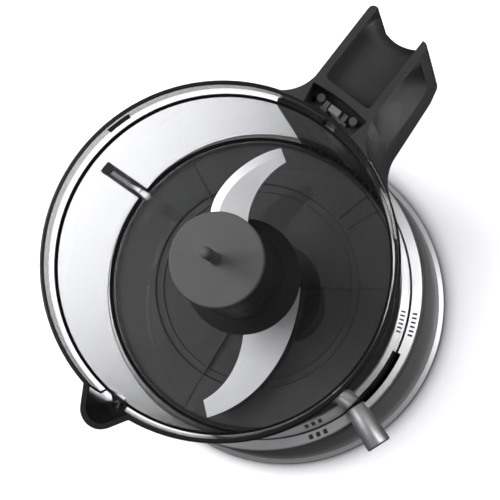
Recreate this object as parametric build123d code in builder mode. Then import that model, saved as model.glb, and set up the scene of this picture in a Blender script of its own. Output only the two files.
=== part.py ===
"""A small food processor with its lid off: base, bowl with handle, blades and speed lever.

Millimetres. The origin lies on the drive axis, in the plane the processor stands on.
+Z is up, the handle points along +X, the pour spout along -X and the speed lever is at the front, -Y.
Outlines that are turned about an upright axis are lists of (radius, height) points.
"""

import os
from math import cos, radians, sin

from build123d import *

os.makedirs("parts", exist_ok=True)

# ---- driving dimensions -------------------------------------------------------------------
# base
FLANGE_R = 71.0
SKIRT_R = 68.6
SHOULDER_R = 66.1
SEAM_Z = 56.0
LEDGE_Z = 74.2
LEDGE_R = 61.5
LEDGE_SLOPE = 0.2
DECK_TOP = 84.5
DECK_RING = (38.5, 41.6)
DECK_LOWER_Z = (83.6, 83.0)
COVER_TOP = 5.5
BOSS_R = 54.0
BOSS_WEB_R = 66.8
BOSS_AZIMUTHS = (45, 135, 225, 315)
CORD_Z = 18.0
CORD_HOLE_R = 3.2

# motor and reduction gear: the gear turns on the drive axis, the motor stands beside it
GEAR_MODULE = 1.0
PINION_TEETH = 14
GEAR_TEETH = 42
MOTOR_X = -GEAR_MODULE * (PINION_TEETH + GEAR_TEETH) / 2
STATOR_R = 24.0
ARMATURE_R = 13.6
MOTOR_SHAFT_R = 3.0
DRIVE_SHAFT_R = 4.0
RUNNING = 0.05
PLATE_TOP = 56.0

# bowl
BOWL_FOOT_Z = 75.0
BOWL_FOOT_R = 61.3
FLARE_Z = 168.0
FLARE_R = 62.5
RIM_Z = 180.0
RIM_R = 64.5
RIM_WALL = 1.6
WALL = 2.0
FLOOR_TOP = 88.0
FLOOR_UNDER = 85.5
TUBE_R = 8.6
TUBE_BORE_R = 6.5
TUBE_TOP = 124.0
RIB_AZIMUTH = 89.0
RIB_R = 2.4
RIB_TOP = 156.0
SPOUT_X = -66.4
SPOUT_R = 7.6
SPOUT_LEDGE_Z = 169.5

# blade assembly
HUB_FOOT_Z = 90.0
HUB_FOOT_R = 13.0
SKIRT_Z = 122.0
HUB_SKIRT_R = 22.4
HUB_R = 16.8
HUB_TOP = 178.0
CAP_R = 17.2
CAP_TOP = 181.6
HUB_SOCKET_Z = 125.0
HUB_WEB_Z = 147.0
HEX = 12.0
POST_R = 2.1
POST_TOP = 204.6
BLADE_T = 1.3
BEVEL = (3.4, 0.9)
UPPER_BLADE_Z = 133.0
LOWER_BLADE_Z = 93.0

# handle
HANDLE_END = 105.3
HANDLE_HALF = 12.8
DISH_START = 74.4
DISH_HALF = 10.0
DISH_Z = 174.5
WEB_END = 100.6
WEB_ROLL = 7.0
DISH_ROUND = 1.5
RECESS_FLOOR = 171.0
RECESS_OUT_R = 71.6
POST_Y = 7.2
UNDERSIDE = [(64.0, 82.0), (98.5, 101.2)]
HANDLE_HEEL = (104.5, 112.0)
CAVITY = (75.5, 95.0)
CAVITY_HALF = 6.0

# speed lever
LEVER_AZIMUTH = -103.0
LEVER_TRAVEL = 22.0
GRIP_HEADING = -109.5
STEM_R = (61.7, 62.8)
STEM_WIDTH = 7.0
GRIP_FOOT = 75.0
ARM_Z = 66.0
ARM_T = 2.5

# interlock between the lid and the motor switch
PLUNGER_X = 62.75
PLUNGER_R = 0.95
PLUNGER_TOP = 77.9

BOSSES = [(BOSS_R * cos(radians(a)), BOSS_R * sin(radians(a))) for a in BOSS_AZIMUTHS]

# The outside of the bowl, which the handle also fits round.
BOWL_OUTSIDE = [
    (0, BOWL_FOOT_Z),
    (BOWL_FOOT_R, BOWL_FOOT_Z),
    (FLARE_R, FLARE_Z),
    (RIM_R - 0.1, FLARE_Z + 3.2),
    (RIM_R, RIM_Z),
    (0, RIM_Z),
]
BOWL_ROUNDS = {BOWL_OUTSIDE[2]: 2.0, BOWL_OUTSIDE[3]: 1.5, BOWL_OUTSIDE[4]: 0.6}


# ---- helpers --------------------------------------------------------------------------------
def turn(outline, mode=Mode.ADD, x=0, soft=0, rounds=None, start=0, arc=360):
    """Turn an outline about the upright axis at x, from azimuth start through arc degrees.

    Corners off the axis are rounded by soft, or by the radius that rounds gives for that corner.
    """
    c, s = cos(radians(start)), sin(radians(start))
    with BuildSketch(Plane(origin=(x, 0, 0), x_dir=(c, s, 0), z_dir=(s, -c, 0))) as profile:
        with BuildLine():
            Polyline(*outline, close=True)
        make_face()
        for corner in outline:
            radius = (rounds or {}).get(corner, soft)
            if radius and corner[0] > 0:
                near = profile.vertices(Select.ALL).sort_by_distance((*corner, 0))[0]
                fillet(near, radius)
    revolve(profile.sketch, axis=Axis((x, 0, 0), (0, 0, 1)), revolution_arc=arc, mode=mode)


def tube(inner, outer, low, high, mode=Mode.ADD, x=0, start=0, arc=360):
    """A ring, or a sector of one, from height low to height high."""
    turn([(inner, low), (outer, low), (outer, high), (inner, high)], mode, x, start=start, arc=arc)


def block(x, y, z, mode=Mode.ADD):
    """A box between two values of each coordinate."""
    centre = ((x[0] + x[1]) / 2, (y[0] + y[1]) / 2, (z[0] + z[1]) / 2)
    with Locations(centre):
        Box(x[1] - x[0], y[1] - y[0], z[1] - z[0], mode=mode)


def rod(radius, low, high, x=0, y=0, mode=Mode.ADD):
    """An upright cylinder."""
    with Locations((x, y, low)):
        Cylinder(radius, high - low, align=(Align.CENTER, Align.CENTER, Align.MIN), mode=mode)


def side_plate(outline, half_width, mode=Mode.ADD):
    """An outline of (x, z) points, as thick as twice half_width across Y."""
    with BuildSketch(Plane.XZ) as profile:
        with BuildLine():
            Polyline(*outline, close=True)
        make_face()
    extrude(profile.sketch, amount=half_width, both=True, mode=mode)


def gear(teeth, low, high, bore, x=0, turned=0):
    """A spur gear with straight-sided teeth, thinned for backlash."""
    pitch_r = GEAR_MODULE * teeth / 2
    root_r = pitch_r - 1.25 * GEAR_MODULE
    tooth_h = 2.2 * GEAR_MODULE
    with BuildSketch(Plane.XY.offset(low)) as wheel:
        with Locations((x, 0)):
            Circle(root_r)
            with PolarLocations(root_r + tooth_h / 2 - 0.1, teeth, start_angle=turned):
                Trapezoid(1.95 * GEAR_MODULE, tooth_h, 72, rotation=-90)
            Circle(bore, mode=Mode.SUBTRACT)
    extrude(wheel.sketch, amount=high - low)


def coil_spring(radius, wire_r, low, high, turns, x, y=0):
    """A round wire wound into a spring."""
    height = high - low - 2 * wire_r
    path = Helix(height / turns, height, radius, center=(x, y, low + wire_r))
    with BuildSketch(Plane(origin=path @ 0, z_dir=path % 0)) as section:
        Circle(wire_r)
    sweep(section.sketch, path=path, is_frenet=True)


def ledge_z(radius):
    """Height of the ledge round the bowl's foot, which slopes down outwards."""
    return LEDGE_Z - LEDGE_SLOPE * (radius - LEDGE_R)


def mark(start, arc):
    """A printed bar that lies on the ledge."""
    near, far, ink = 62.8, 64.7, 0.15
    low, high = ledge_z(far), ledge_z(near)
    turn([(near, high), (far, low), (far, low + ink), (near, high + ink)], start=start, arc=arc)


def underside_z(x):
    """Height of the handle's sloping underside at x."""
    (x0, z0), (x1, z1) = UNDERSIDE
    return z0 + (x - x0) * (z1 - z0) / (x1 - x0)


# ---- base -------------------------------------------------------------------------------------
# Tapered skirt with a flange at the foot, and four screw bosses on webs.
with BuildPart() as lower_housing:
    turn(
        [
            (66.4, 1.6),
            (FLANGE_R, 1.6),
            (FLANGE_R, 4.0),
            (SKIRT_R, 5.4),
            (SHOULDER_R, SEAM_Z),
            (SHOULDER_R - WALL, SEAM_Z),
            (66.2, 8.0),
        ],
        soft=0.6,
    )
    for azimuth in BOSS_AZIMUTHS:
        place = Plane(origin=(0, 0, COVER_TOP), x_dir=Vector(1, 0, 0).rotate(Axis.Z, azimuth))
        with BuildSketch(place) as boss:
            with Locations((BOSS_R, 0)):
                Circle(4)
            with Locations(((BOSS_R + BOSS_WEB_R) / 2, 0)):
                Rectangle(BOSS_WEB_R - BOSS_R, 3)
            with Locations((BOSS_R, 0)):
                Circle(1.5, mode=Mode.SUBTRACT)
        extrude(boss.sketch, amount=14)
    with Locations(Location((0, 66, CORD_Z), (90, 0, 0))):
        Cylinder(6.5, 16, mode=Mode.SUBTRACT)

# Seam bead, ledge round the bowl's foot, and the slot that the lever's stem runs in.
with BuildPart() as upper_housing:
    turn(
        [
            (SHOULDER_R - WALL, SEAM_Z),
            (65.2, SEAM_Z),
            (65.2, 57.4),
            (SHOULDER_R, 57.4),
            (SHOULDER_R + 0.5, 58.2),
            (SHOULDER_R + 0.5, 59.0),
            (SHOULDER_R, 60.0),
            (SHOULDER_R, ledge_z(SHOULDER_R)),
            (LEDGE_R, LEDGE_Z),
            (LEDGE_R, 72.5),
            (59.8, 72.5),
            (59.8, 70.6),
            (62.6, 70.6),
            (63.9, 69.2),
        ],
        soft=0.25,
        rounds={(SHOULDER_R, ledge_z(SHOULDER_R)): 1.2, (SHOULDER_R, 60.0): 0.6, (LEDGE_R, 72.5): 0},
    )
    slot_start = LEVER_AZIMUTH - 3.8
    tube(61.0, STEM_R[1] + 0.3, 69, 76, Mode.SUBTRACT, start=slot_start, arc=LEVER_TRAVEL + 7.6)
    rod(PLUNGER_R + 0.1, 69, 76, PLUNGER_X, mode=Mode.SUBTRACT)

with BuildPart() as bottom_cover:
    rod(66.0, 2.0, COVER_TOP)
    tube(60.5, 65.5, 1.0, 3.5, Mode.SUBTRACT)
    for corner in BOSSES:
        rod(3.2, 1, 4, *corner, mode=Mode.SUBTRACT)
        rod(1.6, 3, 7, *corner, mode=Mode.SUBTRACT)

with BuildPart() as foot_ring:
    turn([(60.5, 0), (65.5, 0), (65.5, 3.5), (60.5, 3.5)], rounds={(60.5, 0): 0.8, (65.5, 0): 0.8})

with BuildPart() as cover_screws:
    for corner in BOSSES:
        rod(3.0, 2.4, 4.0, *corner)
        rod(1.5, 4.0, 14.0, *corner)

# The raised floor under the bowl, with a collar for the upper drive bush and a lip outside.
with BuildPart() as top_deck:
    turn(
        [
            (6, 65),
            (9.9, 65),
            (9.9, 74),
            (15, 74),
            (15, 81.2),
            (56.8, 81.2),
            (56.8, 72.5),
            (61.4, 72.5),
            (61.4, 75),
            (58.8, 75),
            (58.8, DECK_TOP),
            (DECK_RING[1], DECK_TOP),
            (DECK_RING[1] - 0.5, DECK_LOWER_Z[0]),
            (DECK_RING[0], DECK_LOWER_Z[0]),
            (DECK_RING[0] - 0.4, DECK_LOWER_Z[1]),
            (13, DECK_LOWER_Z[1]),
            (13, 76),
            (6, 76),
        ],
        rounds={(58.8, DECK_TOP): 1.0, (DECK_RING[1], DECK_TOP): 0.4, (13, DECK_LOWER_Z[1]): 0.6},
    )
    for rib_azimuth in (66.5, 186.5, 306.5):
        tube(20, 57, 82, DECK_TOP + 0.5, start=rib_azimuth - 0.5, arc=1)
    for notch_azimuth in (-21.5, -14.0):
        tube(43, 57.2, DECK_TOP - 0.7, DECK_TOP + 1, Mode.SUBTRACT, start=notch_azimuth, arc=1.2)
    tube(24, 25.2, 82, DECK_LOWER_Z[1] + 0.6)

with BuildPart() as cord_gland:
    along_y = (90, 0, 0)
    with Locations(Location((0, 65.5, CORD_Z), along_y)):
        Cylinder(6.5, 7)
    with Locations(Location((0, 61.25, CORD_Z), along_y)):
        Cylinder(8.5, 1.5)
    with Locations(Location((0, 69.6, CORD_Z), along_y)):
        Cylinder(8.0, 2.0)
    fillet(cord_gland.edges().filter_by(GeomType.CIRCLE).sort_by(Axis.Y)[-1], 0.8)
    with Locations(Location((0, 65.5, CORD_Z), along_y)):
        Cylinder(CORD_HOLE_R, 16, mode=Mode.SUBTRACT)

with BuildPart() as speed_marks:
    for bar in range(3):
        mark(start=-123.6 + 2.8 * bar, arc=1.5)
    for bar in range(6):
        mark(start=-70.0 + 1.6 * bar, arc=0.7)

# Each block below is one feature, in this order: body, terminal, terminal.
with BuildPart() as micro_switch:
    block((54.5, 63.5), (-5, 5), (36, 50))
    block((50, 54.5), (-3.5, -2.5), (40, 41))
    block((50, 54.5), (2.5, 3.5), (40, 41))

# Body and solder tab.
with BuildPart() as speed_switch:
    block((12, 26), (-42, -31), (64, 72.5))
    block((17, 21), (-39, -34), (62, 64))

# Bare board, transformer, relay, capacitor and heat sink.
with BuildPart() as circuit_board:
    block((33.2, 34.8), (-25, 25), (COVER_TOP, 44))
    block((34.8, 44), (-20, -4), (14, 24))
    block((34.8, 40), (2, 12), (12, 20))
    with Locations(Location((41, 18, 28), (0, 90, 0))):
        Cylinder(5, 12.4)
    block((28, 33.2), (-8, 8), (24, 38))

# ---- motor ------------------------------------------------------------------------------------
with BuildPart() as lower_bracket:
    tube(5, 26, 8, 12, x=MOTOR_X)
    tube(STATOR_R, 26, 12, 30, x=MOTOR_X)
    with Locations((MOTOR_X, 0, COVER_TOP)):
        with PolarLocations(22, 4, start_angle=45):
            Cylinder(3, 8 - COVER_TOP, align=(Align.CENTER, Align.CENTER, Align.MIN))
    for heading in (20, 110, 200, 290):
        tube(22, 28, 14, 22, Mode.SUBTRACT, MOTOR_X, heading, 50)

with BuildPart() as upper_bracket:
    with BuildSketch(Plane.XY.offset(PLATE_TOP - 3)) as plate:
        with Locations((MOTOR_X, 0)):
            Circle(26)
        Circle(13)
        make_hull()
    extrude(plate.sketch, amount=3)
    tube(STATOR_R, 26, 38, PLATE_TOP - 3, x=MOTOR_X)
    rod(8.8, 50.5, PLATE_TOP - 3)
    rod(7, 50, PLATE_TOP + 1, mode=Mode.SUBTRACT)
    rod(5, 50, PLATE_TOP + 1, MOTOR_X, mode=Mode.SUBTRACT)
    for heading in (70, 160, 250):
        tube(22, 28, 46, 51, Mode.SUBTRACT, MOTOR_X, heading, 40)

with BuildPart() as stator:
    tube(14.6, STATOR_R, 23, 43, x=MOTOR_X)

with BuildPart() as field_coils:
    for heading in (-50, 130):
        for low, high in ((19.5, 23), (43, 47)):
            tube(15.5, 22, low, high, x=MOTOR_X, start=heading, arc=100)

with BuildPart() as motor_bushes:
    tube(MOTOR_SHAFT_R + RUNNING, 5, 8, 12, x=MOTOR_X)
    tube(MOTOR_SHAFT_R + RUNNING, 5, 53, PLATE_TOP, x=MOTOR_X)

with BuildPart() as drive_bushes:
    tube(DRIVE_SHAFT_R + RUNNING, 7, 50.5, PLATE_TOP)
    tube(DRIVE_SHAFT_R + RUNNING, 6, 66, 75)

with BuildPart() as brush_holders:
    for side in (-1, 1):
        middle = side * 17.0
        block((MOTOR_X - 3, MOTOR_X + 3), (middle - 6.5, middle + 6.5), (13.6, 20.0))
        block((MOTOR_X - 2, MOTOR_X + 2), (middle - 7, middle + 7), (14.6, 19.0), Mode.SUBTRACT)

with BuildPart() as carbon_brushes:
    for side in (-1, 1):
        middle = side * 13.2
        block((MOTOR_X - 2, MOTOR_X + 2), (middle - 4.8, middle + 4.8), (14.6, 19.0))

with BuildPart() as motor_shaft:
    rod(MOTOR_SHAFT_R, 8.5, 64.5, MOTOR_X)

with BuildPart() as commutator:
    tube(MOTOR_SHAFT_R, 8, 13.5, 20.0, x=MOTOR_X)

with BuildPart() as armature:
    tube(MOTOR_SHAFT_R, ARMATURE_R, 24, 42, x=MOTOR_X)
    with Locations((MOTOR_X, 0, 24)):
        with PolarLocations(ARMATURE_R - 1.5, 12):
            Box(3.4, 1.6, 18, align=(Align.CENTER, Align.CENTER, Align.MIN), mode=Mode.SUBTRACT)

with BuildPart() as armature_windings:
    turn([(3, 20.5), (9, 20.5), (12.2, 22.5), (12.2, 24), (3, 24)], x=MOTOR_X)
    turn([(3, 42), (12.2, 42), (12.2, 44), (9, 46), (3, 46)], x=MOTOR_X)

with BuildPart() as cooling_fan:
    tube(MOTOR_SHAFT_R, 6, 47.8, 52, x=MOTOR_X)
    tube(5.5, 18.5, 47.8, 48.8, x=MOTOR_X)
    with Locations((MOTOR_X, 0, 48.8)):
        with PolarLocations(12, 10):
            Box(12.6, 1.2, 3.2, align=(Align.CENTER, Align.CENTER, Align.MIN))

with BuildPart() as pinion:
    gear(PINION_TEETH, 57.5, 64.5, MOTOR_SHAFT_R, MOTOR_X, turned=180 / PINION_TEETH)

# ---- drive train on the drive axis ---------------------------------------------------------------
with BuildPart() as drive_gear:
    gear(GEAR_TEETH, 58.5, 63.5, DRIVE_SHAFT_R)

with BuildPart() as drive_shaft:
    rod(DRIVE_SHAFT_R, 50.5, 79.6)

with BuildPart() as drive_coupling:
    tube(DRIVE_SHAFT_R, 10, 76.6, 79.6)
    for dog in range(3):
        tube(5.5, 10, 79.6, 82, start=120 * dog, arc=40)

# ---- speed lever ---------------------------------------------------------------------------------
lever_x = Vector(1, 0, 0).rotate(Axis.Z, LEVER_AZIMUTH)
with BuildPart() as lever_arm:
    tube(9.95, 13, ARM_Z, ARM_Z + ARM_T)
    with BuildSketch(Plane(origin=(0, 0, ARM_Z), x_dir=lever_x)) as arm:
        with Locations(((12 + STEM_R[1]) / 2, 0)):
            Rectangle(STEM_R[1] - 12, STEM_WIDTH)
    extrude(arm.sketch, amount=ARM_T)
    with BuildSketch(Plane(origin=(0, 0, ARM_Z + ARM_T), x_dir=lever_x)) as stem:
        with Locations((sum(STEM_R) / 2, 0)):
            Rectangle(STEM_R[1] - STEM_R[0], STEM_WIDTH - 0.6)
    extrude(stem.sketch, amount=75.0 - ARM_Z - ARM_T)

grip_x = Vector(1, 0, 0).rotate(Axis.Z, GRIP_HEADING)
with BuildPart() as speed_lever:
    for out, width, height in ((0, 8.4, 5.0), (11, 9.7, 6.4), (18, 10.2, 5.8)):
        foot = lever_x * 62.0 + grip_x * out + Vector(0, 0, GRIP_FOOT)
        half, flank = width / 2, 0.42 * height
        place = Plane(origin=foot, x_dir=grip_x.cross(Vector(0, 0, 1)), z_dir=-grip_x)
        with BuildSketch(place) as grip_section:
            with BuildLine():
                Polyline((-half, flank), (-half, 0), (half, 0), (half, flank))
                ThreePointArc((half, flank), (0, height), (-half, flank))
            make_face()
            fillet(grip_section.vertices(), 0.8)
    loft()
    fillet(speed_lever.faces().sort_by(Axis.Y)[0].edges(), 0.7)

# ---- bowl ------------------------------------------------------------------------------------------
def spout(low, high, mode=Mode.ADD):
    """A rounded beak that grows from the low section to the high one.

    A section is (height, x of the tip's round, radius of that round, half width at the wall).
    """
    sections = []
    for height, tip_x, tip_r, root_half in (low, high):
        with BuildSketch(Plane.XY.offset(height)) as section:
            with Locations((tip_x, 0)):
                Circle(tip_r)
            with Locations((-57, 0)):
                Rectangle(3, 2 * root_half)
            make_hull()
        sections.append(section.sketch)
    loft(sections, mode=mode)


rib_centre = Vector(BOWL_FOOT_R - RIB_R, 0, 0).rotate(Axis.Z, RIB_AZIMUTH)
with BuildPart() as bowl:
    turn(BOWL_OUTSIDE, rounds=BOWL_ROUNDS)
    spout((158, -61.4, 0.8, 2.5), (RIM_Z, SPOUT_X, SPOUT_R, 13.5))
    turn(
        [
            (0, FLOOR_TOP),
            (BOWL_FOOT_R - WALL + 0.2, FLOOR_TOP),
            (FLARE_R - WALL, FLARE_Z + 1.6),
            (RIM_R - RIM_WALL - 0.1, FLARE_Z + 5.6),
            (RIM_R - RIM_WALL, RIM_Z + 1),
            (0, RIM_Z + 1),
        ],
        Mode.SUBTRACT,
        rounds={(BOWL_FOOT_R - WALL + 0.2, FLOOR_TOP): 2.5},
    )
    spout((SPOUT_LEDGE_Z, -61.6, 1.4, 6), (RIM_Z + 0.5, SPOUT_X, SPOUT_R - 1.7, 11.4), Mode.SUBTRACT)
    tube(0, BOWL_FOOT_R - WALL, BOWL_FOOT_Z - 1, FLOOR_UNDER, Mode.SUBTRACT)
    rod(TUBE_R, FLOOR_TOP - 1, TUBE_TOP)
    rod(TUBE_BORE_R, FLOOR_UNDER - 1, TUBE_TOP + 1, mode=Mode.SUBTRACT)
    rod(RIB_R, FLOOR_TOP - 0.5, RIB_TOP, rib_centre.X, rib_centre.Y)
    tube(61.7, RIM_R - 1, 175.8, 177.6, start=70, arc=8.5)

with BuildPart() as spindle_bushes:
    tube(DRIVE_SHAFT_R + RUNNING, TUBE_BORE_R, 86, 96)
    tube(DRIVE_SHAFT_R + RUNNING, TUBE_BORE_R, 114, TUBE_TOP)

with BuildPart() as spindle:
    rod(DRIVE_SHAFT_R, 82.4, 146.5)
    chamfer(spindle.edges().sort_by(Axis.Z)[-1], 0.6)

with BuildPart() as spindle_coupling:
    tube(DRIVE_SHAFT_R, 10, 82.4, 85)
    for dog in range(3):
        tube(5.5, 10, 80, 82.4, start=120 * dog + 60, arc=40)

with BuildPart() as spindle_driver:
    with BuildSketch(Plane.XY.offset(TUBE_TOP + 2)) as hexagon:
        RegularPolygon(HEX / 2, 6, major_radius=False)
        Circle(DRIVE_SHAFT_R, mode=Mode.SUBTRACT)
    extrude(hexagon.sketch, amount=20)

# ---- handle ------------------------------------------------------------------------------------------
def scoop(side):
    """The hollow in one side of the handle: deep under the top edge, fading out downwards and endwards."""
    sections = []
    for x, depth in ((72.5, 2.2), (80.0, 4.6), (91.0, 4.2), (99.5, 0.3)):
        low, high = underside_z(x) + 1.2, RIM_Z - 2.2
        with BuildSketch(Plane.YZ.offset(x)) as section:
            with BuildLine():
                Spline(
                    (side * HANDLE_HALF, low),
                    (side * (HANDLE_HALF - 0.7 * depth), (low + high) / 2),
                    (side * (HANDLE_HALF - depth), high - 11),
                    (side * HANDLE_HALF, high),
                )
                Polyline(
                    (side * HANDLE_HALF, high),
                    (side * (HANDLE_HALF + 6), high),
                    (side * (HANDLE_HALF + 6), low),
                    (side * HANDLE_HALF, low),
                )
            make_face()
        sections.append(section.sketch)
    loft(sections, mode=Mode.SUBTRACT)


# The handle is two side plates with this web between them. Its outer face is hollowed, and its
# top, the floor of the shallow dish, rolls over into that face.
with BuildPart() as grip_web:
    with BuildSketch(Plane.XY.offset(80)) as web_plan:
        with BuildLine():
            corner = (HANDLE_END - 0.3, DISH_HALF + 0.5)
            ThreePointArc((corner[0], -corner[1]), (WEB_END, 0), corner)
            Polyline(corner, (70, corner[1]), (70, -corner[1]), (corner[0], -corner[1]))
        make_face()
    extrude(amount=DISH_Z - 80)
    fillet(grip_web.edges().sort_by_distance((WEB_END, 0, DISH_Z))[0], WEB_ROLL)

# Side plates and web, trimmed to the sloping underside, then recessed for the interlock.
with BuildPart() as handle:
    with BuildSketch(Plane.XY.offset(80)) as plan:
        with BuildLine():
            Polyline((50, 0), (50, 21), (60.5, 21))
            ThreePointArc((60.5, 21), (65.8, 15.3), (73, HANDLE_HALF))
            Line((73, HANDLE_HALF), (HANDLE_END - 2, HANDLE_HALF))
            RadiusArc((HANDLE_END - 2, HANDLE_HALF), (HANDLE_END, HANDLE_HALF - 2), 2)
            Line((HANDLE_END, HANDLE_HALF - 2), (HANDLE_END, 0))
            mirror(about=Plane.XZ)
        make_face()
    extrude(plan.sketch, amount=RIM_Z - 80)
    block((DISH_START, HANDLE_END + 1), (-DISH_HALF, DISH_HALF), (79, RIM_Z + 1), Mode.SUBTRACT)
    add(grip_web.part)
    for side in (-1, 1):
        dish_corner = (DISH_START, side * DISH_HALF, (DISH_Z + RIM_Z) / 2)
        fillet(handle.edges().filter_by(Axis.Z).sort_by_distance(dish_corner)[0], DISH_ROUND)
    with BuildSketch(Plane.XZ) as profile:
        with BuildLine():
            top = [(45, RIM_Z), (HANDLE_END, RIM_Z)]
            Polyline(*top, HANDLE_HEEL, *reversed(UNDERSIDE), (45, 82), close=True)
        make_face()
        fillet(profile.vertices().sort_by_distance(HANDLE_HEEL)[0], 7)
    extrude(profile.sketch, amount=30, both=True, mode=Mode.INTERSECT)
    turn(BOWL_OUTSIDE, Mode.SUBTRACT, rounds=BOWL_ROUNDS)
    for side in (-1, 1):
        scoop(side)
    tube(60, RECESS_OUT_R, RECESS_FLOOR, RIM_Z + 1, Mode.SUBTRACT, start=-9.6, arc=19.2)
    block((61, 64.6), (-2.7, 2.7), (70, RECESS_FLOOR + 1), Mode.SUBTRACT)
    block((61, 68.7), (-2.7, 2.7), (157, RECESS_FLOOR + 1), Mode.SUBTRACT)
    rod(1.7, 146, 158, 67, mode=Mode.SUBTRACT)
    cavity = [(CAVITY[0], 130), (CAVITY[1], 130), (CAVITY[1], 80), (CAVITY[0], 70)]
    side_plate(cavity, CAVITY_HALF, Mode.SUBTRACT)
    for side in (-1, 1):
        rod(0.9, 158, RECESS_FLOOR + 1, 68.2, side * POST_Y, Mode.SUBTRACT)
        block((65.6, 67.4), sorted((side * 9.4, side * 10.8)), (162, RECESS_FLOOR + 1), Mode.SUBTRACT)

with BuildPart() as handle_cover:
    near, far = CAVITY
    cover_t = 2.2
    lower_edge = [(near, underside_z(near)), (far, underside_z(far))]
    upper_edge = [(far, underside_z(far) + cover_t), (near, underside_z(near) + cover_t)]
    side_plate(lower_edge + upper_edge, CAVITY_HALF)

# Two jaws with a lip each, one pair on each side of the interlock rod.
with BuildPart() as rod_guide:
    for side in (-1, 1):
        block((66.0, 68.6), (side * 4.0 - 0.9, side * 4.0 + 0.9), (RECESS_FLOOR, 176.5))
        block((65.2, 66.0), (side * 4.4 - 1.3, side * 4.4 + 1.3), (RECESS_FLOOR, 174.5))

# Round posts, each with a thin pin that fits in the handle.
with BuildPart() as recess_screws:
    for side in (-1, 1):
        rod(1.5, RECESS_FLOOR, 176.0, 68.2, side * POST_Y)
        rod(0.9, 158, RECESS_FLOOR, 68.2, side * POST_Y)

# ---- interlock ---------------------------------------------------------------------------------------
# Long strip, its foot over the plunger, the arm across to the recess and the head that the lid pushes.
with BuildPart() as interlock_rod:
    block((62.8, 64.2), (-2.4, 2.4), (78, 164))
    block((61.8, 64.2), (-2.4, 2.4), (78, 80))
    block((62.8, 68.4), (-2.2, 2.2), (161, 164.5))
    block((66.0, 68.4), (-2.2, 2.2), (164.5, 178))

with BuildPart() as rod_spring:
    coil_spring(1.2, 0.22, 146, 161, 8, 67)

with BuildPart() as switch_plunger:
    rod(PLUNGER_R, 58, PLUNGER_TOP, PLUNGER_X)
    chamfer(switch_plunger.edges().sort_by(Axis.Z)[-1], 0.2)

with BuildPart() as plunger_spring:
    coil_spring(0.7, 0.16, 50, 58, 8, PLUNGER_X)

# ---- blade assembly ------------------------------------------------------------------------------------
# Sleeve over the spindle, with a flared skirt and a hexagonal socket. The cap closes its top.
with BuildPart() as blade_hub:
    turn(
        [
            (0, 150),
            (14.4, 150),
            (14.4, HUB_TOP),
            (HUB_R, HUB_TOP),
            (HUB_R + 0.1, 131),
            (HUB_SKIRT_R, SKIRT_Z + 0.8),
            (HUB_SKIRT_R, SKIRT_Z - 0.6),
            (HUB_FOOT_R, 119.5),
            (HUB_FOOT_R, HUB_FOOT_Z),
            (9, HUB_FOOT_Z),
            (9, HUB_SOCKET_Z),
            (0, HUB_SOCKET_Z),
        ],
        rounds={(HUB_R + 0.1, 131): 3, (HUB_SKIRT_R, SKIRT_Z + 0.8): 0.6},
    )
    with BuildSketch(Plane.XY.offset(HUB_SOCKET_Z - 1)) as socket:
        RegularPolygon(HEX / 2 + 0.3, 6, major_radius=False)
    extrude(socket.sketch, amount=HUB_WEB_Z - HUB_SOCKET_Z + 1, mode=Mode.SUBTRACT)

with BuildPart() as hub_cap:
    root_r = POST_R + 1.2
    with BuildSketch(Plane.XZ) as cap_profile:
        with BuildLine():
            Polyline((0, 174), (14.4, 174), (14.4, HUB_TOP), (CAP_R, HUB_TOP), (CAP_R, CAP_TOP - 0.6))
            Polyline((CAP_R, CAP_TOP - 0.6), (root_r, CAP_TOP))
            RadiusArc((root_r, CAP_TOP), (POST_R, CAP_TOP + 1.2), 1.2)
            Line((POST_R, CAP_TOP + 1.2), (POST_R, POST_TOP - POST_R))
            RadiusArc((POST_R, POST_TOP - POST_R), (0, POST_TOP), -POST_R)
            Line((0, POST_TOP), (0, 174))
        make_face()
        fillet(cap_profile.vertices().sort_by_distance((CAP_R, CAP_TOP - 0.6))[0], 0.8)
    revolve(axis=Axis.Z)

# Both blades are flat sickles with the bevel on the outer, cutting edge.
with BuildPart() as upper_blade:
    with BuildSketch(Plane.XY.offset(UPPER_BLADE_Z)):
        with BuildLine():
            Spline((4.5, 13.5), (11.5, 22.6), (30.0, 24.8), (47.4, 16.6))
            Line((47.4, 16.6), (44.3, 11.5))
            Spline((44.3, 11.5), (33.0, 13.7), (17.7, 9.0), (12.0, 3.0))
            Line((12.0, 3.0), (4.5, 13.5))
        make_face()
    extrude(amount=BLADE_T)
    upper_face = upper_blade.faces().sort_by(Axis.Z)[-1]
    cutting_edge = upper_face.edges().sort_by_distance((30, 24.8, UPPER_BLADE_Z + BLADE_T))[0]
    chamfer(cutting_edge, *BEVEL, reference=upper_face)

with BuildPart() as lower_blade:
    with BuildSketch(Plane.XY.offset(LOWER_BLADE_Z)):
        with BuildLine():
            Line((10.5, -4.0), (10.2, -15.8))
            Spline((10.2, -15.8), (-9.2, -25.2), (-28.1, -27.4), (-53.0, -18.5))
            Line((-53.0, -18.5), (-48.6, -13.0))
            Spline((-48.6, -13.0), (-32.0, -14.9), (-18.8, -9.7), (-11.0, -3.5))
            Line((-11.0, -3.5), (10.5, -4.0))
        make_face()
    extrude(amount=BLADE_T)
    lower_face = lower_blade.faces().sort_by(Axis.Z)[0]
    cutting_edge = lower_face.edges().sort_by_distance((-28.1, -27.4, LOWER_BLADE_Z))[0]
    chamfer(cutting_edge, *BEVEL, reference=lower_face)
    rod(9, LOWER_BLADE_Z - 1, LOWER_BLADE_Z + BLADE_T + 1, mode=Mode.SUBTRACT)

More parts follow.
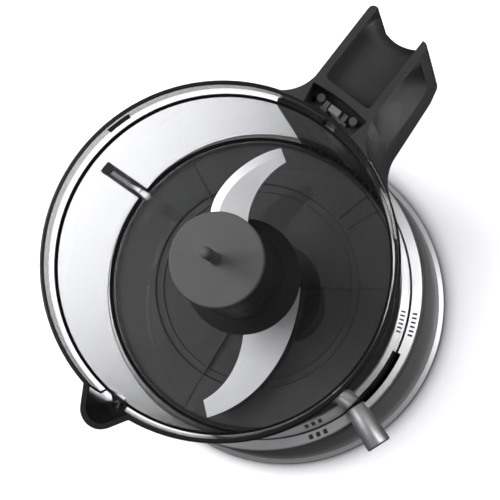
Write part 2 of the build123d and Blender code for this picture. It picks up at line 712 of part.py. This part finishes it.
# ---- hand-over -------------------------------------------------------------------------------------------
pieces = {
    "lower_housing": lower_housing,
    "upper_housing": upper_housing,
    "bottom_cover": bottom_cover,
    "foot_ring": foot_ring,
    "cover_screws": cover_screws,
    "top_deck": top_deck,
    "cord_gland": cord_gland,
    "speed_marks": speed_marks,
    "micro_switch": micro_switch,
    "speed_switch": speed_switch,
    "circuit_board": circuit_board,
    "lower_bracket": lower_bracket,
    "upper_bracket": upper_bracket,
    "stator": stator,
    "field_coils": field_coils,
    "motor_bushes": motor_bushes,
    "drive_bushes": drive_bushes,
    "brush_holders": brush_holders,
    "carbon_brushes": carbon_brushes,
    "motor_shaft": motor_shaft,
    "commutator": commutator,
    "armature": armature,
    "armature_windings": armature_windings,
    "cooling_fan": cooling_fan,
    "pinion": pinion,
    "drive_gear": drive_gear,
    "drive_shaft": drive_shaft,
    "drive_coupling": drive_coupling,
    "lever_arm": lever_arm,
    "speed_lever": speed_lever,
    "bowl": bowl,
    "spindle_bushes": spindle_bushes,
    "spindle": spindle,
    "spindle_coupling": spindle_coupling,
    "spindle_driver": spindle_driver,
    "handle": handle,
    "handle_cover": handle_cover,
    "rod_guide": rod_guide,
    "recess_screws": recess_screws,
    "interlock_rod": interlock_rod,
    "rod_spring": rod_spring,
    "switch_plunger": switch_plunger,
    "plunger_spring": plunger_spring,
    "blade_hub": blade_hub,
    "hub_cap": hub_cap,
    "upper_blade": upper_blade,
    "lower_blade": lower_blade,
}
for name, piece in pieces.items():
    piece.part.label = name
    export_step(piece.part, f"parts/{name}.step")
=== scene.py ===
"""Looks of the food processor: materials, rounded edges, light, floor and camera.

Everything is in metres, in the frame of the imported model: the drive axis is +Z, the handle is at
+X, the pour spout at -X and the speed lever at the front, -Y. Angles are in degrees in this file.
"""

from math import cos, radians, sin

import bpy
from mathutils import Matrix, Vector


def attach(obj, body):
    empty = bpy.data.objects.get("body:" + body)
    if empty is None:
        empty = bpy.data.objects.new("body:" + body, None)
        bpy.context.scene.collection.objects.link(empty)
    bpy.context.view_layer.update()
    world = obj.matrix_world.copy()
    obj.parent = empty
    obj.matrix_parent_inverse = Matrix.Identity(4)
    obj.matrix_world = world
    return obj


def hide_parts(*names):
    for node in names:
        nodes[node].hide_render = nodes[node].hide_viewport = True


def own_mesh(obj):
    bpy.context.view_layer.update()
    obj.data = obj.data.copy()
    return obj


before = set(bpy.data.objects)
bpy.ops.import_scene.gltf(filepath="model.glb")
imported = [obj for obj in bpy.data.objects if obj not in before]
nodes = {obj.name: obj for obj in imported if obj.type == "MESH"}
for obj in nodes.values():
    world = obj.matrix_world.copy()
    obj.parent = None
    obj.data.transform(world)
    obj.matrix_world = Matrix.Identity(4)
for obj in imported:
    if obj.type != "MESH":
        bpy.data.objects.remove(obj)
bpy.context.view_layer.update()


# ---- node helpers ---------------------------------------------------------------------------------
class Look:
    """A node-based material under construction, with short calls for the nodes it needs."""

    def __init__(self, name):
        self.material = bpy.data.materials.new(name)
        self.material.use_nodes = True
        self.tree = self.material.node_tree
        self.shader = self.tree.nodes["Principled BSDF"]
        self.output = self.tree.nodes["Material Output"]
        self.place = self.node("ShaderNodeTexCoord").outputs["Object"]

    def node(self, kind, **settings):
        made = self.tree.nodes.new(kind)
        for key, value in settings.items():
            setattr(made, key, value)
        return made

    def join(self, source, target):
        self.tree.links.new(source, target)

    def set(self, **values):
        """Sets the shader's own sockets to numbers, such as coat_weight=0.2 for Coat Weight."""
        for key, value in values.items():
            socket = key.replace("_", " ").title().replace("Ior", "IOR")
            self.shader.inputs[socket].default_value = value

    def stretched(self, x=1, y=1, z=1, turn=0):
        """The object's coordinates, scaled on each axis and turned about Z."""
        mapping = self.node("ShaderNodeMapping")
        mapping.inputs["Scale"].default_value = (x, y, z)
        mapping.inputs["Rotation"].default_value = (0, 0, radians(turn))
        self.join(self.place, mapping.inputs["Vector"])
        return mapping.outputs["Vector"]

    def noise(self, scale, detail=3, place=None):
        """A noise value from 0 to 1, with scale in features per metre."""
        noise = self.node("ShaderNodeTexNoise")
        noise.inputs["Scale"].default_value = scale
        noise.inputs["Detail"].default_value = detail
        self.join(place or self.place, noise.inputs["Vector"])
        return noise.outputs["Fac"]

    def math(self, operation, a, b=0.0, clamp=False):
        """One arithmetic step on numbers or on other nodes' values."""
        made = self.node("ShaderNodeMath", operation=operation, use_clamp=clamp)
        for socket, value in zip(made.inputs, (a, b)):
            if isinstance(value, (int, float)):
                socket.default_value = value
            else:
                self.join(value, socket)
        return made.outputs["Value"]

    def spread(self, value, low, high, start=0.0, end=1.0):
        """value from start to end, mapped onto low to high and kept inside it."""
        made = self.node("ShaderNodeMapRange")
        for key, number in (("From Min", start), ("From Max", end), ("To Min", low), ("To Max", high)):
            made.inputs[key].default_value = number
        self.join(value, made.inputs["Value"])
        return made.outputs["Result"]

    def blend(self, fac, a, b):
        """A colour between a and b, as fac goes from 0 to 1."""
        made = self.node("ShaderNodeMix", data_type="RGBA")
        self.join(fac, made.inputs["Factor"])
        for socket, value in ((made.inputs[6], a), (made.inputs[7], b)):
            if isinstance(value, tuple):
                socket.default_value = (*value, 1)
            else:
                self.join(value, socket)
        return made.outputs[2]

    def bump(self, height, depth, strength=1.0):
        """Feeds a height from 0 to 1 into the shader as relief of that depth in metres."""
        made = self.node("ShaderNodeBump")
        made.inputs["Distance"].default_value = depth
        made.inputs["Strength"].default_value = strength
        self.join(height, made.inputs["Height"])
        self.join(made.outputs["Normal"], self.shader.inputs["Normal"])

    def parts(self):
        """The object's x, y and z, in metres."""
        split = self.node("ShaderNodeSeparateXYZ")
        self.join(self.place, split.inputs["Vector"])
        return split.outputs["X"], split.outputs["Y"], split.outputs["Z"]

    def radius(self, x0=0.0, y0=0.0):
        """Distance from an upright axis at x0, y0, in metres. The drive axis if none is given."""
        x, y, _ = self.parts()
        x, y = self.math("SUBTRACT", x, x0), self.math("SUBTRACT", y, y0)
        squares = self.math("ADD", self.math("MULTIPLY", x, x), self.math("MULTIPLY", y, y))
        return self.math("SQRT", squares)

    def towards(self, azimuth, from_angle, to_angle):
        """1 within to_angle of an azimuth round the drive axis, 0 beyond from_angle."""
        x, y, _ = self.parts()
        a = radians(azimuth)
        along = self.math("ADD", self.math("MULTIPLY", x, cos(a)), self.math("MULTIPLY", y, sin(a)))
        cosine = self.math("DIVIDE", along, self.radius())
        return self.spread(cosine, 0.0, 1.0, cos(radians(from_angle)), cos(radians(to_angle)))

    def above(self, value, limit, soft=0.0003):
        """1 where value is over the limit, 0 where it is under, with a soft step between."""
        return self.spread(value, 0.0, 1.0, limit - soft, limit + soft)

    def below(self, value, limit, soft=0.0003):
        """1 where value is under the limit, 0 where it is over, with a soft step between."""
        return self.spread(value, 1.0, 0.0, limit - soft, limit + soft)

    def between(self, value, low, high, soft=0.0003):
        """1 where value is from low to high."""
        return self.all_of(self.above(value, low, soft), self.below(value, high, soft))

    def all_of(self, *masks):
        """The product of masks: 1 where all of them are."""
        product = masks[0]
        for mask in masks[1:]:
            product = self.math("MULTIPLY", product, mask)
        return product

    def any_of(self, *masks):
        """The highest of masks at each place."""
        highest = masks[0]
        for mask in masks[1:]:
            highest = self.math("MAXIMUM", highest, mask)
        return highest


def grey(value):
    """A grey that is very slightly blue."""
    return (value, value, value * 1.03)


# ---- materials ------------------------------------------------------------------------------------
def moulded_plastic(name, shade, rough=0.42, depth=0.00002, gloss=0.5):
    """Injection-moulded plastic: a fine spark-eroded grain, faint cloudiness and worn spots."""
    look = Look(name)
    cloud, worn, grain = look.noise(38, 4), look.noise(90, 5), look.noise(2400, 2)
    colour = look.blend(cloud, grey(shade * 0.86), grey(shade * 1.12))
    look.join(colour, look.shader.inputs["Base Color"])
    look.join(look.spread(worn, rough - 0.07, rough + 0.07, 0.3, 0.7), look.shader.inputs["Roughness"])
    look.bump(grain, depth)
    look.set(specular_ior_level=gloss)
    return look.material


def silver_paint(name, shade=0.5, metallic=0.85):
    """Metallic paint: bright flakes in a clear coat, with slight unevenness of the spray."""
    look = Look(name)
    flake = look.node("ShaderNodeTexVoronoi")
    flake.inputs["Scale"].default_value = 5200
    look.join(look.place, flake.inputs["Vector"])
    spray = look.noise(26, 4)
    base = look.blend(spray, grey(shade * 0.93), grey(shade * 1.05))
    flakes = look.spread(flake.outputs["Distance"], 0, 0.35, 0.0, 0.6)
    look.join(look.blend(flakes, base, grey(shade * 1.35)), look.shader.inputs["Base Color"])
    look.join(look.spread(look.noise(60, 3), 0.3, 0.4, 0.3, 0.7), look.shader.inputs["Roughness"])
    look.bump(look.noise(3000, 2), 0.000012)
    look.set(metallic=metallic, coat_weight=0.2, coat_roughness=0.2)
    return look.material


# Azimuths round the drive axis, in degrees from the handle's side.
FRONT_LEFT = -141
LEVER_SIDE = -56

# Places on the bowl that are painted with shade, as heights, radii and spots. SHARP is how quickly a mask
# ends at a crisp edge.
SHARP = 0.0001
RIM_TOP = 0.1794
BAND_BOTTOM = 0.1722
STEP_HEIGHTS, STEP_RADIUS = (0.1688, 0.1712), 0.0616
CORNER_HEIGHTS, CORNER_RADII = (0.0853, 0.0893), (0.0568, 0.0598)
FOOT_TOP = 0.0775
SPOUT_RADIUS, SPOUT_X, SPOUT_BOTTOM = 0.0648, -0.05, 0.156
RIB_SPOT, RIB_REACH, RIB_TOP = (0.0010, 0.0589), 0.0027, 0.156
CATCH_X, CATCH_HEIGHTS, CATCH_BEHIND, CATCH_RADIUS = (0.0121, 0.0217), (0.1757, 0.1777), 0.05, 0.0629


def painted_shade_places(look, at_rib):
    """A mask of painted shade: where the bowl's plastic is painted near black, in place of the darkness
    seen along its thickness.

    Factors under 1 leave a place part clear.
    """
    x, y, z = look.parts()
    r = look.radius()

    # Painted shade: the rim's top edge is painted dark except on the side of the lever. The flared band
    # under it is painted darkest at the front left.
    edge_shown = look.math("SUBTRACT", 1.0, look.towards(LEVER_SIDE, 52, 40))
    rim = look.all_of(look.above(z, RIM_TOP, SHARP), look.math("MAXIMUM", edge_shown, 0.15))
    band_shade = look.spread(look.towards(FRONT_LEFT, 42, 34), 0.3, 0.62)
    band = look.all_of(look.above(z, BAND_BOTTOM, 0.0004), band_shade)

    # Painted shade at the inner step, the floor's corner, the foot, the spout, the rib's top and the
    # catch.
    step = look.all_of(look.between(z, *STEP_HEIGHTS), look.below(r, STEP_RADIUS))
    corner = look.all_of(look.between(z, *CORNER_HEIGHTS), look.between(r, *CORNER_RADII))
    foot = look.math("MULTIPLY", look.any_of(corner, look.below(z, FOOT_TOP)), 0.75)
    beyond_rim = look.all_of(look.above(r, SPOUT_RADIUS, 0.001), look.below(x, SPOUT_X))
    spout = look.all_of(beyond_rim, look.above(z, SPOUT_BOTTOM, 0.004), 0.93)
    rib_top = look.all_of(at_rib, look.between(z, RIB_TOP - 0.0002, RIB_TOP + 0.0003, SHARP))
    catch_box = look.all_of(look.between(x, *CATCH_X, SHARP), look.between(z, *CATCH_HEIGHTS, SHARP))
    catch = look.all_of(catch_box, look.above(y, CATCH_BEHIND), look.below(r, CATCH_RADIUS, SHARP))
    return look.any_of(rim, step, band, foot, spout, rib_top, catch)


def clear_plastic(name):
    """Clear polycarbonate, with painted shade: near black where the real bowl looks dark along its
    thickness, as at the rim.
    """
    look = Look(name)
    scuff = look.noise(900, 4, look.stretched(1, 1, 0.15))
    look.join(look.spread(scuff, 0.0, 0.04, 0.45, 0.8), look.shader.inputs["Roughness"])
    tint = look.blend(look.noise(30, 2), (0.97, 0.975, 0.98), (0.99, 0.99, 0.99))
    look.join(tint, look.shader.inputs["Base Color"])
    look.set(transmission_weight=1.0, ior=1.5)
    look.bump(look.noise(45, 2), 0.00002, 0.3)

    at_rib = look.below(look.radius(*RIB_SPOT), RIB_REACH, SHARP)
    # The near-black plastic that is painted on as shade at the places in the mask.
    dark = look.node("ShaderNodeBsdfPrincipled")
    dark.inputs["Base Color"].default_value = (0.009, 0.009, 0.009, 1)
    dark.inputs["Roughness"].default_value = 0.26
    solid = look.node("ShaderNodeMixShader")
    look.join(painted_shade_places(look, at_rib), solid.inputs["Fac"])
    look.join(look.shader.outputs["BSDF"], solid.inputs[1])
    look.join(dark.outputs["BSDF"], solid.inputs[2])

    # Shadow rays go through unbent, so that the inside of the bowl is lit. So does most of the light
    # at the rib's shaft, which hardly shows.
    clear = look.node("ShaderNodeBsdfTransparent")
    clear.inputs["Color"].default_value = (0.95, 0.955, 0.96, 1)
    ray = look.node("ShaderNodeLightPath")
    mix = look.node("ShaderNodeMixShader")
    height = look.parts()[2]
    shaft = look.all_of(at_rib, look.below(height, RIB_TOP - 0.0003))
    unbent = look.math("MAXIMUM", ray.outputs["Is Shadow Ray"], look.math("MULTIPLY", shaft, 0.8))
    look.join(unbent, mix.inputs["Fac"])
    look.join(solid.outputs["Shader"], mix.inputs[1])
    look.join(clear.outputs["BSDF"], mix.inputs[2])
    look.join(mix.outputs["Shader"], look.output.inputs["Surface"])
    return look.material


def blade_steel(name, turn):
    """Blade steel, ground along the blade: fine scratches in one direction."""
    look = Look(name)
    along = look.stretched(0.04, 1, 1, turn)
    scratch = look.noise(5200, 4, along)
    patch = look.noise(60, 3)
    look.join(look.blend(scratch, grey(0.76), grey(0.9)), look.shader.inputs["Base Color"])
    rough = look.math("ADD", look.spread(scratch, 0.0, 0.1), look.spread(patch, 0.34, 0.42, 0.3, 0.7))
    look.join(rough, look.shader.inputs["Roughness"])
    look.bump(scratch, 0.00001, 0.6)
    look.set(metallic=1.0)
    return look.material


def turned_metal(name, shade, rough=0.25, tint=(1, 1, 1)):
    """Turned metal: fine rings round the upright axis, and a few darker stains."""
    look = Look(name)
    rings = look.noise(3400, 3, look.stretched(0.05, 0.05, 1))
    dark = tuple(shade * 0.85 * t for t in tint)
    light = tuple(shade * 1.1 * t for t in tint)
    look.join(look.blend(look.noise(150, 4), dark, light), look.shader.inputs["Base Color"])
    look.join(look.spread(rings, rough - 0.05, rough + 0.08), look.shader.inputs["Roughness"])
    look.bump(rings, 0.00001, 0.5)
    look.set(metallic=1.0)
    return look.material


def rubber(name):
    """Matt rubber with a dusty bloom."""
    look = Look(name)
    look.join(look.blend(look.noise(120, 5), grey(0.018), grey(0.05)), look.shader.inputs["Base Color"])
    look.join(look.spread(look.noise(700, 3), 0.62, 0.85), look.shader.inputs["Roughness"])
    look.bump(look.noise(1500, 3), 0.00004)
    return look.material


def wound_copper(name):
    """Enamelled copper wire: close turns seen as fine ridges, amber where the varnish is thick."""
    look = Look(name)
    wave = look.node("ShaderNodeTexWave", bands_direction="Z")
    wave.inputs["Scale"].default_value = 420
    wave.inputs["Distortion"].default_value = 0.6
    look.join(look.place, wave.inputs["Vector"])
    varnish = look.blend(look.noise(90, 3), (0.42, 0.13, 0.04), (0.7, 0.3, 0.12))
    look.join(varnish, look.shader.inputs["Base Color"])
    look.bump(wave.outputs["Fac"], 0.0002)
    look.set(metallic=0.8, roughness=0.35, coat_weight=0.4)
    return look.material


def laminations(name):
    """Stacked steel sheet: thin layers seen edge on."""
    look = Look(name)
    wave = look.node("ShaderNodeTexWave", bands_direction="Z")
    wave.inputs["Scale"].default_value = 640
    look.join(look.place, wave.inputs["Vector"])
    look.join(look.blend(wave.outputs["Fac"], grey(0.16), grey(0.34)), look.shader.inputs["Base Color"])
    look.bump(wave.outputs["Fac"], 0.00005)
    look.set(metallic=0.9, roughness=0.45)
    return look.material


def circuit_green(name):
    """Solder mask over faint tracks."""
    look = Look(name)
    brick = look.node("ShaderNodeTexBrick")
    brick.inputs["Scale"].default_value = 240
    brick.inputs["Color1"].default_value = (0.01, 0.1, 0.035, 1)
    brick.inputs["Color2"].default_value = (0.015, 0.13, 0.05, 1)
    brick.inputs["Mortar"].default_value = (0.02, 0.18, 0.07, 1)
    look.join(look.place, brick.inputs["Vector"])
    look.join(brick.outputs["Color"], look.shader.inputs["Base Color"])
    look.set(roughness=0.3)
    return look.material


def printed_ink(name):
    """Dark ink, printed a little unevenly."""
    look = Look(name)
    ink = look.blend(look.noise(2500, 3), grey(0.012), grey(0.05))
    look.join(ink, look.shader.inputs["Base Color"])
    look.join(look.spread(look.noise(1800, 2), 0.3, 0.5), look.shader.inputs["Roughness"])
    return look.material


black = moulded_plastic("black_plastic", 0.032)
# Painted shade and light: the hub is a darker copy and its cap a lighter copy of one black plastic, for
# the shaded side and lit top.
hub_shaded_black = moulded_plastic("hub_plastic_shaded", 0.03, 0.5)
cap_lit_black = moulded_plastic("cap_plastic_lit", 0.175, 0.6, gloss=0.15)
deck_black = moulded_plastic("deck_plastic", 0.02, 0.42, depth=0.000008)
bracket = moulded_plastic("bracket_plastic", 0.22, 0.5)
guide_grey = moulded_plastic("guide_plastic", 0.11, 0.4)
rod_grey = moulded_plastic("rod_plastic", 0.27, 0.35)
nylon = moulded_plastic("nylon_plastic", 0.62, 0.4)
silver = silver_paint("silver_paint", 0.55, metallic=0.7)
ledge_silver = silver_paint("ledge_paint", 0.52)
lever_silver = silver_paint("lever_paint", 0.34, metallic=0.7)
steel = turned_metal("shaft_steel", 0.55)
bronze = turned_metal("bush_bronze", 0.6, 0.35, (1.0, 0.72, 0.4))
foot_rubber = rubber("foot_rubber")
copper = wound_copper("wound_copper")
stack = laminations("steel_laminations")

materials = {
    "lower_housing": silver,
    "upper_housing": ledge_silver,
    "bottom_cover": black,
    "foot_ring": foot_rubber,
    "cover_screws": steel,
    "top_deck": deck_black,
    "cord_gland": foot_rubber,
    "speed_marks": printed_ink("mark_ink"),
    "micro_switch": black,
    "speed_switch": black,
    "circuit_board": circuit_green("circuit_green"),
    "lower_bracket": bracket,
    "upper_bracket": bracket,
    "stator": stack,
    "field_coils": copper,
    "motor_bushes": bronze,
    "drive_bushes": bronze,
    "brush_holders": bronze,
    "carbon_brushes": foot_rubber,
    "motor_shaft": steel,
    "commutator": copper,
    "armature": stack,
    "armature_windings": copper,
    "cooling_fan": bracket,
    "pinion": bronze,
    "drive_gear": nylon,
    "drive_shaft": steel,
    "drive_coupling": nylon,
    "lever_arm": bracket,
    "speed_lever": lever_silver,
    "bowl": clear_plastic("clear_plastic"),
    "spindle_bushes": bronze,
    "spindle": steel,
    "spindle_coupling": nylon,
    "spindle_driver": nylon,
    "handle": black,
    "handle_cover": black,
    "rod_guide": guide_grey,
    "recess_screws": guide_grey,
    "interlock_rod": rod_grey,
    "rod_spring": steel,
    "switch_plunger": black,
    "plunger_spring": steel,
    "blade_hub": hub_shaded_black,
    "hub_cap": cap_lit_black,
    "upper_blade": blade_steel("upper_blade_steel", -25),
    "lower_blade": blade_steel("lower_blade_steel", -10),
}
for name, material in materials.items():
    mesh = nodes[name].data
    mesh.materials.clear()
    mesh.materials.append(material)


# ---- rounded edges --------------------------------------------------------------------------------
def round_edges(name, width, segments=2, angle=35):
    """Takes the sharpness off a moulded piece's edges, so that they catch the light."""
    node = nodes[name]
    weld = node.modifiers.new("weld", "WELD")
    weld.merge_threshold = 0.000002
    bevel = node.modifiers.new("round_edges", "BEVEL")
    bevel.width = width
    bevel.segments = segments
    bevel.limit_method = "ANGLE"
    bevel.angle_limit = radians(angle)
    bevel.harden_normals = True


round_edges("handle", 0.0005)


# ---- springs --------------------------------------------------------------------------------------
def working_spring(node, body):
    """A smooth-shaded copy of the CAD's spring, attached to its body in place of the hidden CAD piece."""
    coil = bpy.data.objects.new(f"{node}_coil", nodes[node].data.copy())
    bpy.context.scene.collection.objects.link(coil)
    for face in coil.data.polygons:
        face.use_smooth = True
    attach(coil, body)
    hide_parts(node)
    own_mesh(coil)


for node, joint, body in (
    ("rod_spring", "interlock_press", "bowl"),
    ("plunger_spring", "plunger_press", "base"),
):
    working_spring(node, body)


# ---- stage ----------------------------------------------------------------------------------------
# The black card that the floor looks like in reflections, the reach of the painted contact shadow round
# the base, and the surroundings' brightness against the sine of the height above the horizon.
CARD = (0.01, 0.01, 0.01)
CONTACT_SHADE_REACH = 0.011
SKY = [(0.0, 0.02), (0.2, 0.08), (0.5, 0.5), (0.8, 0.42), (0.95, 0.22), (1.0, 0.18)]


def floor():
    """A white floor with a painted contact shadow near the base. Reflections and bounced light see it
    dark, as if it were black card.
    """
    bpy.ops.mesh.primitive_plane_add(size=6, location=(0, 0, 0))
    plane = bpy.context.object
    plane.name = "floor"
    look = Look("floor_paper")
    # Painted contact shadow: the floor's colour turns dark grey where the base closes it in.
    contact_shade = look.node("ShaderNodeAmbientOcclusion", samples=12)
    contact_shade.inputs["Distance"].default_value = CONTACT_SHADE_REACH
    sheet = look.blend(look.noise(2, 2), grey(0.9), grey(0.92))
    shaded = look.blend(look.spread(contact_shade.outputs["AO"], 0, 1, 0.45, 0.96), grey(0.12), sheet)
    look.join(shaded, look.shader.inputs["Base Color"])
    look.set(roughness=0.9, specular_ior_level=0.0)
    card = look.node("ShaderNodeBsdfDiffuse")
    card.inputs["Color"].default_value = (*CARD, 1)
    ray = look.node("ShaderNodeLightPath")
    indirect = look.math("ADD", ray.outputs["Glossy Depth"], ray.outputs["Diffuse Depth"], clamp=True)
    mix = look.node("ShaderNodeMixShader")
    look.join(indirect, mix.inputs["Fac"])
    look.join(look.shader.outputs["BSDF"], mix.inputs[1])
    look.join(card.outputs["BSDF"], mix.inputs[2])
    look.join(mix.outputs["Shader"], look.output.inputs["Surface"])
    plane.data.materials.append(look.material)
    return plane


def area_light(name, azimuth, elevation, distance, size, power, target=(0, 0, 0.1)):
    """A soft square light that faces the target. Azimuth is the side it stands on, from +X."""
    light = bpy.data.lights.new(name, "AREA")
    light.size = size
    light.energy = power
    holder = bpy.data.objects.new(name, light)
    flat = distance * cos(radians(elevation))
    spot = (
        target[0] + flat * cos(radians(azimuth)),
        target[1] + flat * sin(radians(azimuth)),
        target[2] + distance * sin(radians(elevation)),
    )
    holder.location = spot
    aim = Vector(target) - Vector(spot)
    holder.rotation_euler = aim.to_track_quat("-Z", "Y").to_euler()
    bpy.context.scene.collection.objects.link(holder)
    return holder


def only_on(light, receivers):
    """Keeps a light to some of the objects, as flags and reflectors do round a studio set."""
    lit = bpy.data.collections.new(f"lit_by_{light.name}")
    for receiver in receivers:
        lit.objects.link(receiver)
    light.light_linking.receiver_collection = lit


def surroundings():
    """Studio surroundings by height: dark at the horizon, bright half way up and dim overhead.

    They are dimmer to the front left, which darkens the paint on that side of the base.
    """
    world = bpy.data.worlds.new("studio")
    bpy.context.scene.world = world
    world.use_nodes = True
    tree = world.node_tree
    place = tree.nodes.new("ShaderNodeTexCoord")
    split = tree.nodes.new("ShaderNodeSeparateXYZ")
    ramp = tree.nodes.new("ShaderNodeValToRGB")
    stops = ramp.color_ramp.elements
    for sine, _ in SKY[1:-1]:
        stops.new(sine)
    for stop, (sine, level) in zip(stops, SKY):
        stop.position = sine
        stop.color = (level, level, level, 1)
    tree.links.new(place.outputs["Generated"], split.inputs["Vector"])
    tree.links.new(split.outputs["Z"], ramp.inputs["Fac"])
    tree.links.new(ramp.outputs["Color"], tree.nodes["Background"].inputs["Color"])
    front = tree.nodes.new("ShaderNodeVectorMath")
    front.operation = "DOT_PRODUCT"
    front.inputs[1].default_value = (cos(radians(FRONT_LEFT)), sin(radians(FRONT_LEFT)), 0)
    tree.links.new(place.outputs["Generated"], front.inputs[0])
    fade = tree.nodes.new("ShaderNodeMapRange")
    for key, number in (("From Min", 0.1), ("From Max", 0.5), ("To Min", 1.0), ("To Max", 0.5)):
        fade.inputs[key].default_value = number
    tree.links.new(front.outputs["Value"], fade.inputs["Value"])
    tree.links.new(fade.outputs["Result"], tree.nodes["Background"].inputs["Strength"])


def camera():
    """A long lens, high above the front of the bowl and turned so that the handle points up and right."""
    data = bpy.data.cameras.new("camera")
    data.lens = 134.4
    data.sensor_width = 36
    holder = bpy.data.objects.new("camera", data)
    holder.location = (0.0117, -0.1332, 0.8247)
    holder.rotation_euler = tuple(radians(a) for a in (6.734, 8.785, -51.482))
    bpy.context.scene.collection.objects.link(holder)
    bpy.context.scene.camera = holder


paper = floor()
surroundings()
area_light("left_box", azimuth=115, elevation=45, distance=1.3, size=0.8, power=9)
area_light("right_box", azimuth=-45, elevation=58, distance=1.3, size=0.4, power=0.8)
painted = [nodes[name] for name in ("lower_housing", "upper_housing", "speed_lever")]
low_light = area_light("low_light", azimuth=-50, elevation=35, distance=1.3, size=0.7, power=5)
only_on(low_light, painted)
handle_light = area_light("handle_light", azimuth=-40, elevation=25, distance=1.3, size=0.5, power=9)
only_on(handle_light, [nodes["handle"]])
# The glow of white paper on the foot of the handle's side, which the dark card can't give.
handle_foot = (0.072, -0.015, 0.08)
paper_glow = area_light(
    "paper_glow", azimuth=-75, elevation=-20, distance=0.07, size=0.05, power=0.009, target=handle_foot
)
paper_glow.visible_camera = False
only_on(paper_glow, [nodes["handle"]])
ledge_light = area_light("ledge_light", azimuth=-48, elevation=62, distance=1.3, size=0.5, power=2.8)
only_on(ledge_light, painted)
floor_light = area_light("floor_light", azimuth=125, elevation=84, distance=1.6, size=1.5, power=42)
only_on(floor_light, [paper])
camera()
bpy.context.scene.view_settings.view_transform = "Standard"
